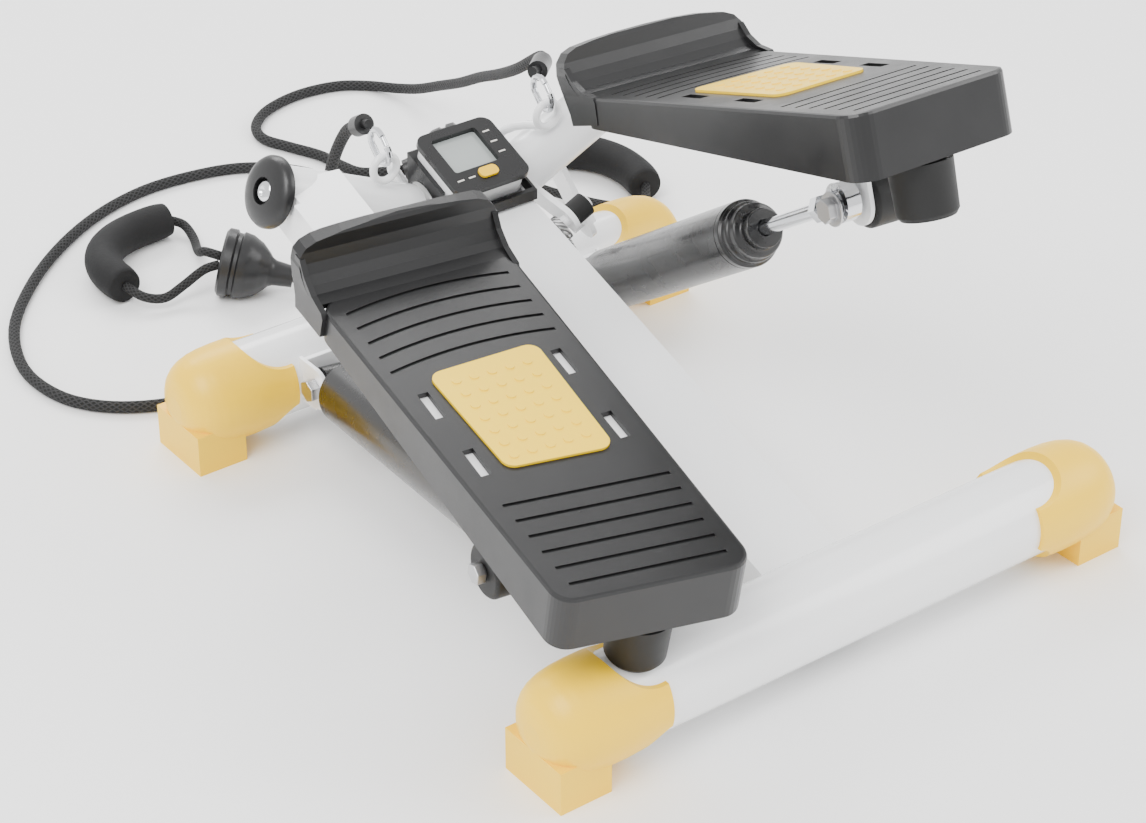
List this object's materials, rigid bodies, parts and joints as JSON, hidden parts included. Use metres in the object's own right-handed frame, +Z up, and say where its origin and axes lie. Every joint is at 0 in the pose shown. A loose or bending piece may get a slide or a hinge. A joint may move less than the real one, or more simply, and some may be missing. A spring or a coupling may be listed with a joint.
{
  "type": "mini stepper",
  "caption": "Twist-action mini stepper with tilted pedal axles, hydraulic cylinders, a small display and elastic bands with foam grips.",
  "frame": {"origin": "on the floor, at the middle of the footprint of the stepper with its two foam grips, without the cords", "axes": "+Z up, +Y forward from the user's heels to the display, +X to the user's right"},
  "size_m": [0.537, 0.8941, 0.3654],
  "materials": {
    "white_steel": "glossy powder coat",
    "yellow_plastic": "fine satin grain",
    "yellow_rubber": "satin with raised dots",
    "black_plastic": "fine moulded grain",
    "bright_steel": "zinc plated",
    "chrome": "polished",
    "black_paint": "satin black paint",
    "black_rubber": "dull",
    "grip_foam": "closed-cell foam skin",
    "cord_fabric": "woven sleeve",
    "nylon": "plain",
    "wire_rope": "twisted strands",
    "lcd_glass": "clear over grey",
    "green_board": "solder mask"
  },
  "bodies": {
    "base": {"rear_crossbar": "white_steel", "front_crossbar": "white_steel", "spine_tube": "white_steel", "head_post": "white_steel", "pedal_axles": "bright_steel", "rear_left_cap": "yellow_plastic", "rear_right_cap": "yellow_plastic", "front_left_cap": "yellow_plastic", "front_right_cap": "yellow_plastic", "left_cylinder_ear": "white_steel", "right_cylinder_ear": "white_steel", "cylinder_pins": "bright_steel", "axle_caps": "black_plastic", "hook_eyes": "white_steel", "cable_sockets": "black_paint", "display_cradle": "black_plastic", "display_housing": "white_steel", "display_bezel": "black_plastic", "lcd_window": "lcd_glass", "circuit_board": "green_board", "snap_hooks": "chrome", "cord_cups": "black_plastic", "left_cord": "cord_fabric", "right_cord": "cord_fabric", "band_couplers": "black_plastic", "left_loop": "cord_fabric", "right_loop": "cord_fabric", "left_grip": "grip_foam", "right_grip": "grip_foam"},
    "button": {"mode_button": "yellow_plastic"},
    "left_pedal": {"left_sleeve": "white_steel", "left_bushes": "nylon", "left_arm": "white_steel", "left_lever": "white_steel", "left_roller": "black_rubber", "left_deck": "black_plastic", "left_pad": "yellow_rubber", "left_bumper": "black_rubber", "left_rod_bolt": "bright_steel", "left_rod_roller": "black_rubber"},
    "left_cylinder": {"left_barrel": "black_paint", "left_gland": "black_paint"},
    "left_piston_rod": {"left_rod": "chrome"},
    "left_guide": {"left_cable_guide": "bright_steel"},
    "left_sync_cable": {"left_cable": "wire_rope"},
    "right_pedal": {"right_sleeve": "white_steel", "right_bushes": "nylon", "right_arm": "white_steel", "right_lever": "white_steel", "right_roller": "black_rubber", "right_deck": "black_plastic", "right_pad": "yellow_rubber", "right_bumper": "black_rubber", "right_rod_bolt": "bright_steel", "right_rod_roller": "black_rubber"},
    "right_cylinder": {"right_barrel": "black_paint", "right_gland": "black_paint"},
    "right_piston_rod": {"right_rod": "chrome"},
    "right_guide": {"right_cable_guide": "bright_steel"},
    "right_sync_cable": {"right_cable": "wire_rope"}
  },
  "joints": [
    {"name": "left_pedal_hinge", "type": "hinge", "parent": "base", "child": "left_pedal", "pos_m": [-0.033, 0.053, 0.132], "axis": [-0.9085, 0, 0.4179], "range_deg": [0, 33.7]},
    {"name": "right_pedal_hinge", "type": "hinge", "parent": "base", "child": "right_pedal", "pos_m": [-0.033, 0.053, 0.132], "axis": [0.9085, 0, 0.4179], "range_deg": [0, 33.7]},
    {"name": "left_cylinder_hinge", "type": "hinge", "parent": "base", "child": "left_cylinder", "pos_m": [-0.144, 0.045, 0.0475], "axis": [-0.8769, -0.018, 0.4803], "range_deg": [0, 31.05]},
    {"name": "right_cylinder_hinge", "type": "hinge", "parent": "base", "child": "right_cylinder", "pos_m": [0.078, 0.045, 0.0475], "axis": [0.8769, -0.018, 0.4803], "range_deg": [0, 31.05]},
    {"name": "left_rod_slide", "type": "slide", "parent": "left_cylinder", "child": "left_piston_rod", "axis": [-0.1244, -0.9838, 0.1288], "range_m": [0, 0.0691]},
    {"name": "right_rod_slide", "type": "slide", "parent": "right_cylinder", "child": "right_piston_rod", "axis": [0.1123, 0.8159, -0.5671], "range_m": [0, 0.0691]},
    {"name": "left_guide_swivel", "type": "hinge", "parent": "base", "child": "left_guide", "pos_m": [-0.066, -0.084, 0.1], "axis": [0.8051, 0.5671, -0.174], "range_deg": [0, 22.66]},
    {"name": "right_guide_swivel", "type": "hinge", "parent": "base", "child": "right_guide", "pos_m": [0, -0.084, 0.1], "axis": [-0.8051, 0.5671, -0.174], "range_deg": [0, 22.66]},
    {"name": "left_cable_slide", "type": "slide", "parent": "left_guide", "child": "left_sync_cable", "axis": [0.2122, -0.9704, -0.1154], "range_m": [0, 0.008]},
    {"name": "right_cable_slide", "type": "slide", "parent": "right_guide", "child": "right_sync_cable", "axis": [0.0832, 0.8897, 0.449], "range_m": [0, 0.008]},
    {"name": "button_press", "type": "slide", "parent": "base", "child": "button", "axis": [0, 0.3584, -0.9336], "range_m": [0, 0.0012], "stiffness_N_per_m": 400, "springref_m": -0.0015}
  ],
  "couplings": [
    {"joint": "right_pedal_hinge", "follows": "left_pedal_hinge", "ratio": 1},
    {"joint": "left_cylinder_hinge", "follows": "left_pedal_hinge", "ratio": 0.92136},
    {"joint": "right_cylinder_hinge", "follows": "left_pedal_hinge", "ratio": 0.92136},
    {"joint": "left_rod_slide", "follows": "left_pedal_hinge", "m_per_rad": 0.11748},
    {"joint": "right_rod_slide", "follows": "left_pedal_hinge", "m_per_rad": 0.11748},
    {"joint": "left_guide_swivel", "follows": "left_pedal_hinge", "ratio": 0.6724},
    {"joint": "right_guide_swivel", "follows": "left_pedal_hinge", "ratio": 0.6724},
    {"joint": "left_cable_slide", "follows": "left_pedal_hinge", "m_per_rad": 0.013601},
    {"joint": "right_cable_slide", "follows": "left_pedal_hinge", "m_per_rad": 0.013601}
  ]
}
